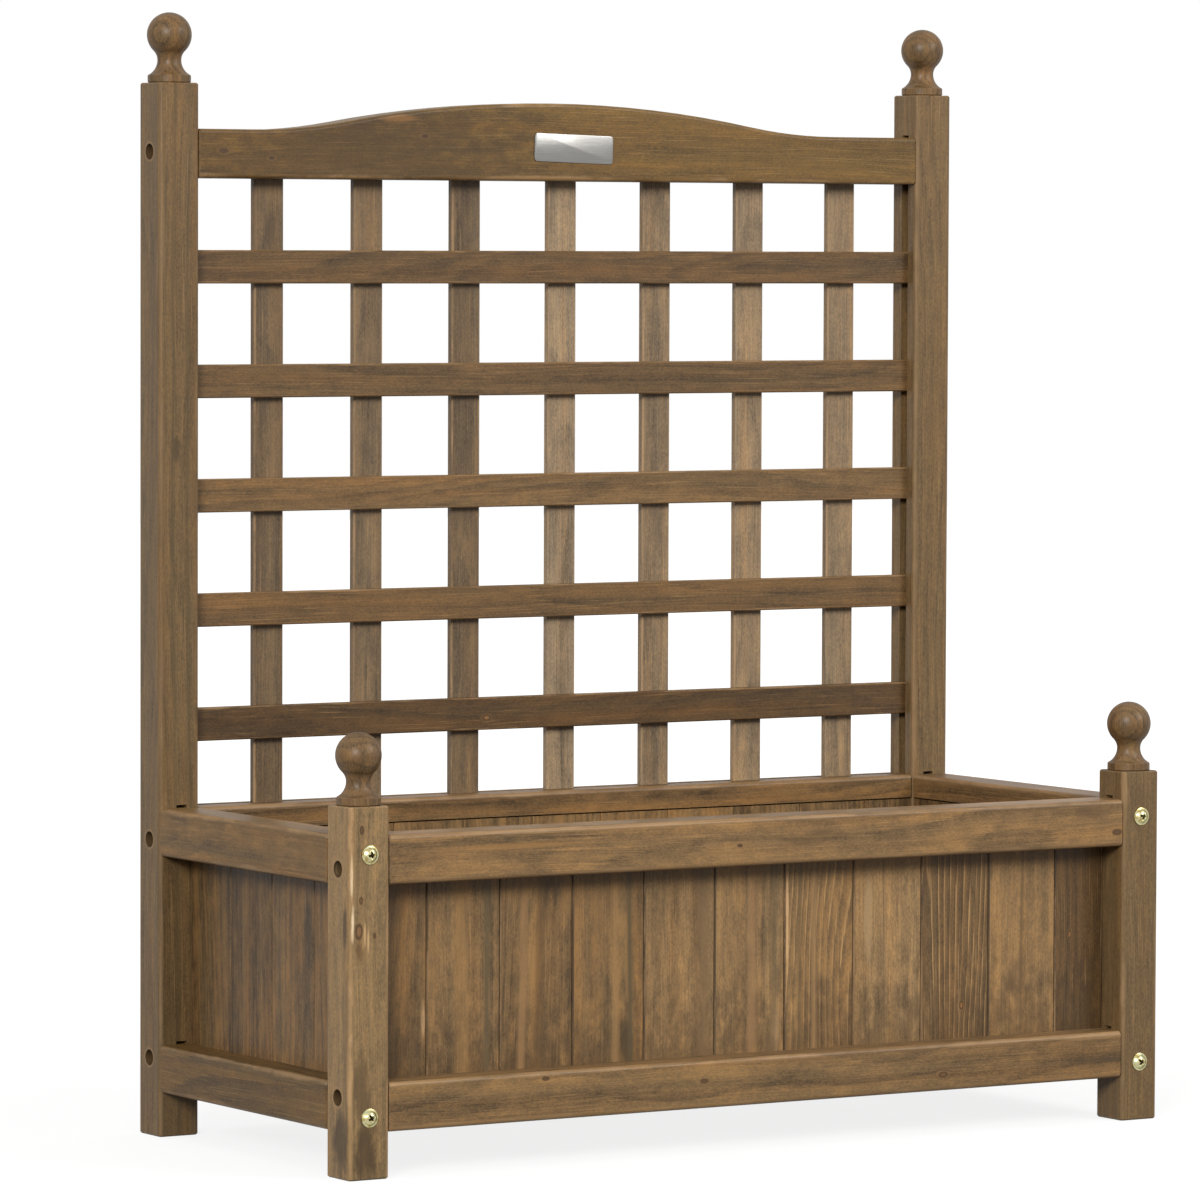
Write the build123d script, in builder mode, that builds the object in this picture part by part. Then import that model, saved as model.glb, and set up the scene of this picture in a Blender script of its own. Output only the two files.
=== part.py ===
from build123d import *

import os
from math import cos, floor, radians, sin

# A wooden trellis planter: a boarded box on four posts. The two back posts are tall and carry a slatted
# trellis under an arched rail. Sizes are in millimetres. X runs along the length, Y to the back and Z up,
# and the origin is on the floor under the middle of the footprint.

os.makedirs("parts", exist_ok=True)

# Overall sizes over the posts.
length = 640
depth = 285
back_post_height = 706
box_height = 221

# Front posts stand this far above the box.
front_post_rise = 19

# Posts are square bars with rounded corners and eased ends.
post_side = 30
post_round = 3
post_end_chamfer = 1

# Rails close the box at top and bottom. They are as deep as the posts and flush with them inside and out.
rail_height = 32
rail_round = 3
rail_end_chamfer = 1
foot_clearance = 30

# A rebate along the inner edge of each box rail takes the ends of the boards.
rebate_depth = 7
rebate_height = 16

# Stub tenons on the rail ends go into mortises, which are cut a little deeper and higher than they need.
tenon_setback = 12.5
tenon_thickness = 8
tenon_length = 8
tenon_shoulder = 6
mortise_end_play = 0.5
mortise_top_play = 2

# Tongued and grooved boards stand in the rebates.
board_thickness = 6
board_gap = 0.6
board_edge_chamfer = 0.6
board_end_play = 0.5
board_top_play = 1
long_board_pitch = 55.4
least_end_board = 15
side_board_count = 4
tongue_length = 3.5
tongue_thickness = 2
tongue_play = 0.2

# Floor boards lie across two cleats, with gaps that let water out.
cleat_side = 15
cleat_end_play = 5
floor_board_count = 6
floor_board_gap = 9.8
floor_board_thickness = 8
floor_end_play = 1.5
floor_chamfer = 1

# Trellis: crossbars run between grooves in the back posts, and uprights stand behind them.
slat_width = 22.5
slat_chamfer = 0.8
crossbar_thickness = 7
crossbar_count = 5
crossbar_top_gap = 48
crossbar_bottom_gap = 43.5
upright_thickness = 6
upright_count = 7
upright_left_gap = 51
upright_right_gap = 41.5
upright_seat_depth = 8
upright_side_play = 0.1
upright_top_play = 1

# The arched rail ties the back posts together. Its crown stands a little to the left of the middle.
arch_drop = 63.5
arch_end_height = 33
arch_rise = 20.5
arch_left_flat = 82
arch_right_flat = 108
arch_blend = 42
arch_round = 2.5

# Turned finials: a disc, a cove, a neck and a ball, held by a stud in bores.
finial_height = 47
finial_base_radius = 14.5
finial_base_thickness = 5.5
finial_base_chamfer = 0.7
finial_cove_radius = 13.6
finial_neck_radius = 8
finial_neck_height = 15.2
finial_ball_radius = 15
finial_ball_join = 45
stud_radius = 2.5
stud_side_play = 0.05
stud_top_play = 1
post_bore_depth = 21
finial_bore_depth = 16

# Screws enter the ends of the rails through the posts: domed ones into the side rails, seen from the
# front and back, and sunk ones into the long rails and the arched rail, seen from the sides.
screw_radius = 2
screw_side_play = 0.05
screw_end_play = 1
dome_screw_length = 55
dome_flange_radius = 6.15
dome_flange_thickness = 0.9
dome_radius = 4.9
dome_height = 3.4
sunk_screw_length = 50
sunk_head_radius = 4
sunk_head_thickness = 2.6
counterbore_radius = 5.25
counterbore_depth = 10

# Screw heights are measured up from the underside of the rail that each screw enters.
bottom_dome_height = 10
bottom_sunk_height = 22.5
top_dome_height = 20
top_sunk_height = 10.5
arch_sunk_height = 17.5

# Sizes that follow from the ones above.
long_span = length - 2 * post_side
side_span = depth - 2 * post_side
rail_bases = {"bottom": foot_clearance, "top": box_height - rail_height}
arch_base = back_post_height - arch_drop
tenon_middle = tenon_setback + tenon_thickness / 2
mortise_depth = tenon_length + mortise_end_play
board_setback = post_side - rebate_depth
board_base = rail_bases["bottom"] + rail_height - rebate_height
board_height = rail_bases["top"] + rebate_height - board_top_play - board_base
crossbar_setback = tenon_setback + tenon_thickness - crossbar_thickness
upright_setback = crossbar_setback - upright_thickness

# Each side of the box is a plane on the floor: x along the side, y inwards from its outer face.
sides = {
    "front": Plane(origin=(0, -depth / 2, 0), x_dir=(1, 0, 0), z_dir=(0, 0, 1)),
    "back": Plane(origin=(0, depth / 2, 0), x_dir=(-1, 0, 0), z_dir=(0, 0, 1)),
    "left": Plane(origin=(-length / 2, 0, 0), x_dir=(0, -1, 0), z_dir=(0, 0, 1)),
    "right": Plane(origin=(length / 2, 0, 0), x_dir=(0, 1, 0), z_dir=(0, 0, 1)),
}
spans = {"front": long_span, "back": long_span, "left": side_span, "right": side_span}

# Each post's side of the middle in X and in Y, and its height.
corners = {
    "back_left": (-1, 1, back_post_height),
    "back_right": (1, 1, back_post_height),
    "front_left": (-1, -1, box_height + front_post_rise),
    "front_right": (1, -1, box_height + front_post_rise),
}


def save(part, name):
    """Labels a finished piece and writes it."""
    part.label = name
    export_step(part, f"parts/{name}.step")


def post_centre(corner):
    """A post's middle in plan."""
    side_x, side_y, _ = corners[corner]
    return side_x * (length - post_side) / 2, side_y * (depth - post_side) / 2


def section_plane(side, base):
    """A plane across the left end of a side: x inwards, y up from a base height, facing along the side."""
    plane = sides[side]
    origin = plane.from_local_coords((-spans[side] / 2, 0, base))
    return Plane(origin, x_dir=plane.y_dir, z_dir=plane.x_dir)


def dome_seats():
    """The places of the domed screws on the posts' front and back faces, facing outwards."""
    seats = []
    for corner, (_, side_y, _) in corners.items():
        x, _ = post_centre(corner)
        for height in (rail_bases["bottom"] + bottom_dome_height, rail_bases["top"] + top_dome_height):
            seats.append(Plane((x, side_y * depth / 2, height), x_dir=(0, 0, 1), z_dir=(0, side_y, 0)))
    return seats


def sunk_mouths():
    """The mouths of the sunk screws' holes on the posts' end faces, facing outwards."""
    mouths = []
    for corner, (side_x, side_y, _) in corners.items():
        _, y = post_centre(corner)
        heights = [rail_bases["bottom"] + bottom_sunk_height, rail_bases["top"] + top_sunk_height]
        if side_y > 0:
            heights.append(arch_base + arch_sunk_height)
        for height in heights:
            mouths.append(Plane((side_x * length / 2, y, height), x_dir=(0, 0, 1), z_dir=(side_x, 0, 0)))
    return mouths


def drill_screw_holes():
    """Cuts the screw holes that pass through the piece being made, with their counterbores."""
    radius = screw_radius + screw_side_play
    sunk_depth = counterbore_depth + sunk_screw_length + screw_end_play
    with Locations(*dome_seats()):
        Hole(radius, dome_screw_length + screw_end_play)
    with Locations(*sunk_mouths()):
        CounterBoreHole(radius, counterbore_radius, counterbore_depth, sunk_depth)


def cut_mortise(place, size, low, high):
    """Cuts an upright slot between two heights."""
    with BuildSketch(Plane.XY.offset(low)) as slot:
        with Locations(place):
            Rectangle(*size)
    extrude(slot.sketch, amount=high - low, mode=Mode.SUBTRACT)


def make_post(corner):
    """A post with its mortises, screw holes and finial bore. A back post's top mortise runs on up as the
    groove that holds the crossbars and the arched rail."""
    side_x, side_y, height = corners[corner]
    long_place = (side_x * (long_span + mortise_depth) / 2, side_y * (depth / 2 - tenon_middle))
    side_place = (side_x * (length / 2 - tenon_middle), side_y * (side_span + mortise_depth) / 2)
    with BuildPart() as post:
        with BuildSketch():
            with Locations(post_centre(corner)):
                RectangleRounded(post_side, post_side, post_round)
        extrude(amount=height)
        chamfer(post.faces().filter_by(Axis.Z).edges(), post_end_chamfer)
        for level, base in rail_bases.items():
            low = base + tenon_shoulder
            high = base + rail_height + mortise_top_play
            cut_mortise(side_place, (tenon_thickness, mortise_depth), low, high)
            if side_y > 0 and level == "top":
                high = arch_base + arch_end_height + mortise_top_play
            cut_mortise(long_place, (mortise_depth, tenon_thickness), low, high)
        drill_screw_holes()
        with Locations((*post_centre(corner), height)):
            Hole(stud_radius + stud_side_play, post_bore_depth)
    save(post.part, f"post_{corner}")


def make_finial(corner):
    """A finial turned from one profile and bored from below. The ball starts where its surface leans at
    the join angle, and the arc up from the neck meets it there."""
    x, y = post_centre(corner)
    height = corners[corner][2]
    ball_centre = finial_height - finial_ball_radius
    join_x = finial_ball_radius * cos(radians(finial_ball_join))
    join_y = ball_centre - finial_ball_radius * sin(radians(finial_ball_join))
    neck = (finial_neck_radius, finial_neck_height)
    with BuildPart() as finial:
        with BuildSketch(Plane((x, y, height), x_dir=(1, 0, 0), z_dir=(0, -1, 0))) as profile:
            with BuildLine():
                base = Polyline(
                    (0, 0),
                    (finial_base_radius, 0),
                    (finial_base_radius, finial_base_thickness),
                    (finial_cove_radius, finial_base_thickness),
                )
                TangentArc(neck, base @ 1, tangent=(0, -1))
                TangentArc(neck, (join_x, join_y), tangent=(0, 1))
                ball = ThreePointArc((join_x, join_y), (finial_ball_radius, ball_centre), (0, finial_height))
                Line(ball @ 1, base @ 0)
            make_face()
            chamfer(profile.vertices().group_by(Axis.X)[-1], finial_base_chamfer)
        revolve(axis=Axis((x, y, height), (0, 0, 1)))
        with Locations(Plane((x, y, height), z_dir=(0, 0, -1))):
            Hole(stud_radius + stud_side_play, finial_bore_depth)
    save(finial.part, f"finial_{corner}")


def make_finial_studs():
    """The plain studs that stand in the posts' bores and hold the finials."""
    with BuildPart() as studs:
        for corner, (_, _, height) in corners.items():
            with BuildSketch(Plane.XY.offset(height - post_bore_depth)):
                with Locations(post_centre(corner)):
                    Circle(stud_radius)
            extrude(amount=post_bore_depth + finial_bore_depth - stud_top_play)
    save(studs.part, "finial_studs")


def add_tenons(section, span, height):
    """Adds the stub tenons at both ends of a rail, as one bar that runs through it."""
    with BuildSketch(section.offset(-tenon_length)) as tenon:
        with Locations((tenon_setback, tenon_shoulder)):
            Rectangle(tenon_thickness, height - tenon_shoulder, align=(Align.MIN, Align.MIN))
    extrude(tenon.sketch, amount=span + 2 * tenon_length)


def cut_upright_groove(section, edge, cut_depth, align):
    """Cuts the groove that takes the ends of the uprights, from the lower or upper edge of a back rail."""
    width = upright_thickness + 2 * upright_side_play
    with BuildSketch(section) as groove:
        with Locations((upright_setback - upright_side_play, edge)):
            Rectangle(width, cut_depth, align=(Align.MIN, align))
    extrude(groove.sketch, amount=long_span, mode=Mode.SUBTRACT)


def make_rail(side, level):
    """A box rail: a rounded bar with stub tenons and a rebate for the boards."""
    section = section_plane(side, rail_bases[level])
    rebate_base = {"bottom": rail_height - rebate_height, "top": 0}[level]
    with BuildPart() as rail:
        with BuildSketch(section) as outline:
            Rectangle(post_side, rail_height, align=(Align.MIN, Align.MIN))
            fillet(outline.vertices(), rail_round)
        extrude(amount=spans[side])
        chamfer(rail.faces().filter_by(section).edges(), rail_end_chamfer)
        add_tenons(section, spans[side], rail_height)
        with BuildSketch(section):
            with Locations((board_setback, rebate_base)):
                Rectangle(rebate_depth, rebate_height, align=(Align.MIN, Align.MIN))
        extrude(amount=spans[side], mode=Mode.SUBTRACT)
        if side == "back" and level == "top":
            cut_upright_groove(section, rail_height, upright_seat_depth, Align.MAX)
        drill_screw_holes()
    save(rail.part, f"{side}_{level}_rail")


def make_arched_rail():
    """The arched rail: level at both ends, with a crown arc that blends into them through smaller arcs."""
    section = section_plane("back", arch_base)
    left, right = arch_left_flat - long_span / 2, long_span / 2 - arch_right_flat
    arch_top = arch_end_height + arch_rise
    # Where a chord meets its arc they make twice the angle whose tangent is rise over half the chord,
    # so a blend arc of this radius starts at the blend's length from the corner.
    blend_radius = arch_blend * (right - left) / (2 * arch_rise)
    with BuildPart() as rail:
        with BuildSketch(Plane((0, depth / 2, arch_base), x_dir=(1, 0, 0), z_dir=(0, -1, 0))) as outline:
            with BuildLine():
                Polyline(
                    (left, arch_end_height),
                    (-long_span / 2, arch_end_height),
                    (-long_span / 2, 0),
                    (long_span / 2, 0),
                    (long_span / 2, arch_end_height),
                    (right, arch_end_height),
                )
                crown = ((left + right) / 2, arch_top)
                ThreePointArc((left, arch_end_height), crown, (right, arch_end_height))
            make_face()
            fillet(outline.vertices().sort_by(Axis.X)[2:4], blend_radius)
        extrude(amount=post_side)
        long_edges = rail.faces().filter_by(Axis.Y).edges().filter_by(Axis.Z, reverse=True)
        fillet(long_edges, arch_round)
        chamfer(rail.faces().filter_by(Axis.X).edges(), rail_end_chamfer)
        add_tenons(section, long_span, arch_end_height)
        cut_upright_groove(section, 0, upright_seat_depth + upright_top_play, Align.MIN)
        drill_screw_holes()
    save(rail.part, "arched_rail")


def make_crossbar(number):
    """A crossbar whose ends lie in the posts' grooves. The first is the lowest."""
    low = box_height + crossbar_bottom_gap
    high = arch_base - crossbar_top_gap - slat_width
    base = low + (high - low) * number / (crossbar_count - 1)
    with BuildPart() as crossbar:
        with BuildSketch(section_plane("back", base).offset(-tenon_length)) as outline:
            with Locations((crossbar_setback, 0)):
                Rectangle(crossbar_thickness, slat_width, align=(Align.MIN, Align.MIN))
            chamfer(outline.vertices(), slat_chamfer)
        extrude(amount=long_span + 2 * tenon_length)
    save(crossbar.part, f"crossbar_{number + 1}")


def make_upright(number):
    """An upright that stands in the back top rail's groove and ends in the arched rail's. The first is
    the left one."""
    left = -long_span / 2 + upright_left_gap + slat_width / 2
    right = long_span / 2 - upright_right_gap - slat_width / 2
    x = left + (right - left) * number / (upright_count - 1)
    y = depth / 2 - upright_setback - upright_thickness / 2
    base = box_height - upright_seat_depth
    with BuildPart() as upright:
        with BuildSketch(Plane.XY.offset(base)) as outline:
            with Locations((x, y)):
                Rectangle(slat_width, upright_thickness)
            chamfer(outline.vertices(), slat_chamfer)
        extrude(amount=arch_base + upright_seat_depth - base)
    save(upright.part, f"upright_{number + 1}")


def joint_lines(side):
    """Where the boards of a side meet each other and the posts, from one end to the other. The long sides
    have whole boards about their middle and cut ones at the posts, and the short sides equal boards."""
    end = spans[side] / 2
    if side in ("left", "right"):
        return [end * (2 * n / side_board_count - 1) for n in range(side_board_count + 1)]
    joints_each_way = floor((end - least_end_board) / long_board_pitch + 1 / 2)
    inner = [(n + 1 / 2) * long_board_pitch for n in range(-joints_each_way, joints_each_way)]
    return [-end, *inner, end]


def add_board(side, number):
    """Adds one board of a side. It has a groove and a tongue, save where it meets a post."""
    lines = joint_lines(side)
    has_groove = number > 0
    has_tongue = number + 2 < len(lines)
    left = lines[number] + (board_gap / 2 if has_groove else board_end_play)
    right = lines[number + 1] - (board_gap / 2 if has_tongue else board_end_play)
    middle = board_setback + board_thickness / 2
    groove_thickness = tongue_thickness + 2 * tongue_play
    with BuildSketch(sides[side].offset(board_base)) as outline:
        with Locations(((left + right) / 2, middle)):
            Rectangle(right - left, board_thickness)
        chamfer(outline.vertices().group_by(Axis.Y)[0], board_edge_chamfer)
        if has_groove:
            with Locations((left, middle)):
                slot_align = (Align.MIN, Align.CENTER)
                Rectangle(tongue_length, groove_thickness, align=slot_align, mode=Mode.SUBTRACT)
        if has_tongue:
            with Locations((right, middle)):
                Rectangle(tongue_length, tongue_thickness, align=(Align.MIN, Align.CENTER))
    extrude(outline.sketch, amount=board_height)


def make_boards(side):
    """The boards of a side, each a piece of its own."""
    for number in range(len(joint_lines(side)) - 1):
        with BuildPart() as board:
            add_board(side, number)
        save(board.part, f"{side}_board_{number + 1}")


def make_back_boards():
    """The boards of the back, which are alike and hidden, as one group of separate solids."""
    with BuildPart() as boards:
        for number in range(len(joint_lines("back")) - 1):
            add_board("back", number)
    save(boards.part, "back_boards")


def make_cleat(side):
    """A cleat along the inside of a bottom rail, which carries the floor boards."""
    section = section_plane(side, rail_bases["bottom"])
    with BuildPart() as cleat:
        with BuildSketch(section.offset(cleat_end_play)) as outline:
            with Locations((post_side, 0)):
                Rectangle(cleat_side, cleat_side, align=(Align.MIN, Align.MIN))
            chamfer(outline.vertices(), floor_chamfer)
        extrude(amount=long_span - 2 * cleat_end_play)
    save(cleat.part, f"floor_cleat_{side}")


def make_floor_board(number):
    """A floor board that lies from cleat to cleat. The first is the left one."""
    pitch = (long_span - 2 * floor_end_play + floor_board_gap) / floor_board_count
    x = pitch * (number - (floor_board_count - 1) / 2)
    with BuildPart() as board:
        with BuildSketch(Plane.XY.offset(rail_bases["bottom"] + cleat_side)):
            with Locations((x, 0)):
                Rectangle(pitch - floor_board_gap, side_span - 2 * floor_end_play)
        extrude(amount=floor_board_thickness)
        chamfer(board.edges().filter_by(Axis.Y), floor_chamfer)
    save(board.part, f"floor_board_{number + 1}")


def profile_plane(seat):
    """A plane through a screw's axis: x across the screw and y out of its head."""
    return Plane(seat.origin, x_dir=seat.x_dir, z_dir=-seat.y_dir)


def make_dome_screws():
    """Screws with a flange under a domed head."""
    with BuildPart() as screws:
        for seat in dome_seats():
            with BuildSketch(profile_plane(seat)):
                with BuildLine():
                    shank = Polyline(
                        (0, -dome_screw_length),
                        (screw_radius, -dome_screw_length),
                        (screw_radius, 0),
                        (dome_flange_radius, 0),
                        (dome_flange_radius, dome_flange_thickness),
                        (dome_radius, dome_flange_thickness),
                    )
                    dome = TangentArc((0, dome_height), shank @ 1, tangent=(1, 0))
                    Line(dome @ 0, shank @ 0)
                make_face()
            revolve(axis=Axis(seat.origin, seat.z_dir))
    save(screws.part, "dome_screws")


def make_sunk_screws():
    """Screws with a flat head, which sit at the bottom of the counterbores."""
    with BuildPart() as screws:
        for mouth in sunk_mouths():
            seat = mouth.offset(-counterbore_depth)
            with BuildSketch(seat):
                Circle(screw_radius)
            extrude(amount=-sunk_screw_length)
            with BuildSketch(seat):
                Circle(sunk_head_radius)
            extrude(amount=sunk_head_thickness)
    save(screws.part, "sunk_screws")


for corner in corners:
    make_post(corner)
    make_finial(corner)
make_finial_studs()
for side in sides:
    for level in rail_bases:
        make_rail(side, level)
make_arched_rail()
for number in range(crossbar_count):
    make_crossbar(number)
for number in range(upright_count):
    make_upright(number)
for side in ("front", "left", "right"):
    make_boards(side)
make_back_boards()
for side in ("front", "back"):
    make_cleat(side)
for number in range(floor_board_count):
    make_floor_board(number)
make_dome_screws()
make_sunk_screws()
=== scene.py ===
import bpy
import numpy as np
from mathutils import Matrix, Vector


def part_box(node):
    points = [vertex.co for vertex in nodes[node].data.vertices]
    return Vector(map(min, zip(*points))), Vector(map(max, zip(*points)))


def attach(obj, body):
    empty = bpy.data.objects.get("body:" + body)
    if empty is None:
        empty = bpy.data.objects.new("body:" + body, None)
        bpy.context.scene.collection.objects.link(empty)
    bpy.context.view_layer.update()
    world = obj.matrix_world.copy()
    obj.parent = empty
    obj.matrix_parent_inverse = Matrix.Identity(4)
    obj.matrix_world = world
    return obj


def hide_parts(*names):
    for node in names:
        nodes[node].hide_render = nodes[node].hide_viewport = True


# The finished looks of a wooden trellis planter: a boarded box on four posts, with a slatted trellis under
# an arched rail between the two back posts. X runs along its length, Y to the back and Z up. The planter's
# sizes are written in millimetres and turned to metres with MM; camera, floor and lamps are in metres.

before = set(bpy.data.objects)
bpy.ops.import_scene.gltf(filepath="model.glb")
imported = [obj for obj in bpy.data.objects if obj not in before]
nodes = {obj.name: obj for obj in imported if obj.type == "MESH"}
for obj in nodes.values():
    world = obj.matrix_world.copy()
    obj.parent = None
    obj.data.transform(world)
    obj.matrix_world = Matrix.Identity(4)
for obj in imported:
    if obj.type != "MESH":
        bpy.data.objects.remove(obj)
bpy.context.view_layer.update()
MM = 0.001

# Camera. A long lens 4.7 metres away, at the height of the trellis, standing off the planter's front left
# corner, so that the front and the left side both show and the posts look straight.
camera_place = np.array((-2.5151, -3.9701, 0.6012))
camera_yaw, camera_pitch, camera_roll = np.radians((31.901, 2.96, 0.209))
forward = np.array((
    np.sin(camera_yaw) * np.cos(camera_pitch),
    np.cos(camera_yaw) * np.cos(camera_pitch),
    -np.sin(camera_pitch),
))
level_right = np.array((np.cos(camera_yaw), -np.sin(camera_yaw), 0))
level_up = np.cross(level_right, forward)
right = np.cos(camera_roll) * level_right + np.sin(camera_roll) * level_up
up = np.cos(camera_roll) * level_up - np.sin(camera_roll) * level_right
camera_matrix = np.eye(4)
camera_matrix[:3] = np.column_stack((right, up, -forward, camera_place))
camera = bpy.data.objects.new("camera", bpy.data.cameras.new("camera"))
camera.data.lens = 208.05
camera.data.sensor_width = 36
camera.matrix_world = camera_matrix.T.tolist()
bpy.context.scene.collection.objects.link(camera)
bpy.context.scene.camera = camera
bpy.context.scene.view_settings.view_transform = "Standard"


# Studio floor. A wide white painted board, smooth and matt, whose far edge runs out of sight in the white
# of the room. The camera and shiny metal see it glow, so that it looks white and keeps a shadow, while what
# it throws back on the wood is a dim grey.
def linear(hex_colour):
    """sRGB hex to linear colour: c / 12.92 up to 0.04045, else ((c + 0.055) / 1.055) to the power 2.4."""
    srgb = np.array([int(hex_colour[i:i + 2], 16) for i in (1, 3, 5)]) / 255
    rgb = np.where(srgb <= 0.04045, srgb / 12.92, ((srgb + 0.055) / 1.055) ** 2.4)
    return *rgb.tolist(), 1.0


def add_node(owner, kind, inputs, **settings):
    """Adds a shader node to a material or world: settings are the node's own properties, and inputs gives
    each socket, by name or number, a constant, another node (its first output) or another node's output."""
    node = owner.node_tree.nodes.new("ShaderNode" + kind)
    for key, value in settings.items():
        setattr(node, key, value)
    for key, value in inputs.items():
        if isinstance(value, bpy.types.Node):
            value = value.outputs[0]
        if isinstance(value, bpy.types.NodeSocket):
            owner.node_tree.links.new(value, node.inputs[key])
        else:
            node.inputs[key].default_value = value
    return node


def new_material(name):
    """An empty material with nodes."""
    material = bpy.data.materials.new(name)
    material.use_nodes = True
    material.node_tree.nodes.clear()
    return material


floor_paint = new_material("matt_white_paint")
rays = add_node(floor_paint, "LightPath", {})
floor_spot = add_node(floor_paint, "TexCoord", {}).outputs["Object"]
# Faint dust lies in spots about 110 mm wide. The glow grows to full white from 0.45 to 2.6 m out.
floor_dust = add_node(floor_paint, "TexNoise", {"Vector": floor_spot, "Scale": 9.0, "Detail": 3.0})
floor_grey = add_node(floor_paint, "Mix", {0: floor_dust, 6: linear("#6F6F6E"), 7: linear("#757575")},
                      data_type="RGBA").outputs[2]
floor_grey = add_node(floor_paint, "Mix", {
    0: rays.outputs["Is Camera Ray"], 6: linear("#404040"), 7: floor_grey}, data_type="RGBA").outputs[2]
floor_matt = add_node(floor_paint, "BsdfDiffuse", {"Color": floor_grey})
floor_distance = add_node(floor_paint, "VectorMath", {0: floor_spot}, operation="LENGTH").outputs["Value"]
floor_brightness = add_node(floor_paint, "MapRange", {
    "Value": floor_distance, "From Min": 0.45, "From Max": 2.6, "To Min": 0.84, "To Max": 1.0})
floor_seen = add_node(floor_paint, "Math", {
    0: rays.outputs["Is Camera Ray"], 1: rays.outputs["Is Glossy Ray"]}, operation="MAXIMUM")
floor_brightness = add_node(floor_paint, "Math", {0: floor_seen, 1: floor_brightness}, operation="MULTIPLY")
floor_glow = add_node(floor_paint, "Emission", {"Color": linear("#FFFFFF"), "Strength": floor_brightness})
floor_sum = add_node(floor_paint, "AddShader", {0: floor_matt, 1: floor_glow})
add_node(floor_paint, "OutputMaterial", {"Surface": floor_sum})

floor_reach = 9.0
floor_mesh = bpy.data.meshes.new("studio_floor")
floor_mesh.from_pydata(
    [(-floor_reach, -floor_reach, 0), (floor_reach, -floor_reach, 0),
     (floor_reach, floor_reach, 0), (-floor_reach, floor_reach, 0)],
    [], [(0, 1, 2, 3)])
floor_mesh.materials.append(floor_paint)
studio_floor = bpy.data.objects.new("studio_floor", floor_mesh)
bpy.context.scene.collection.objects.link(studio_floor)

# Studio light. One big soft box far out on the left, a smaller one near the planter on the right, and a
# white ceiling that grows dim towards the floor. The camera and shiny metal see the room as plain white.
room = bpy.data.worlds.new("studio_room")
room.use_nodes = True
room.node_tree.nodes.clear()
room_rays = add_node(room, "LightPath", {})
seen = room_rays.outputs["Is Camera Ray"]
for ray in ("Is Glossy Ray", "Is Transmission Ray"):
    seen = add_node(room, "Math", {0: seen, 1: room_rays.outputs[ray]}, operation="MAXIMUM")
room_way = add_node(room, "SeparateXYZ", {0: add_node(room, "TexCoord", {}).outputs["Generated"]})
ceiling = add_node(room, "MapRange", {"Value": room_way.outputs["Z"], "From Min": -0.1, "From Max": 0.9,
                                      "To Min": 0.18, "To Max": 0.95})
room_strength = add_node(room, "MapRange", {"Value": seen, "To Min": ceiling, "To Max": 1.0})
room_white = add_node(room, "Background", {"Color": linear("#FFFFFF"), "Strength": room_strength})
add_node(room, "OutputWorld", {"Surface": room_white})
bpy.context.scene.world = room

for name, place, target, wide, high, spread, watts in (
    ("key_softbox", (-5.19, -4.84, 2.9), (0.3, 0, 0.6), 2.3, 1.8, 75, 77.0),
    ("fill_softbox", (1.62, -2.3, 1.85), (0, 0, 0.3), 1.2, 1.2, 180, 45.0),
):
    lamp = bpy.data.objects.new(name, bpy.data.lights.new(name, "AREA"))
    lamp.data.shape = "RECTANGLE"
    lamp.data.size, lamp.data.size_y = wide, high
    lamp.data.spread = np.radians(spread)
    lamp.data.energy = watts
    aim = np.array(target) - place
    aim /= np.linalg.norm(aim)
    across = np.cross(aim, (0, 0, 1))
    across /= np.linalg.norm(across)
    lamp_matrix = np.eye(4)
    lamp_matrix[:3] = np.column_stack((across, np.cross(across, aim), -aim, place))
    lamp.matrix_world = lamp_matrix.T.tolist()
    bpy.context.scene.collection.objects.link(lamp)


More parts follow.
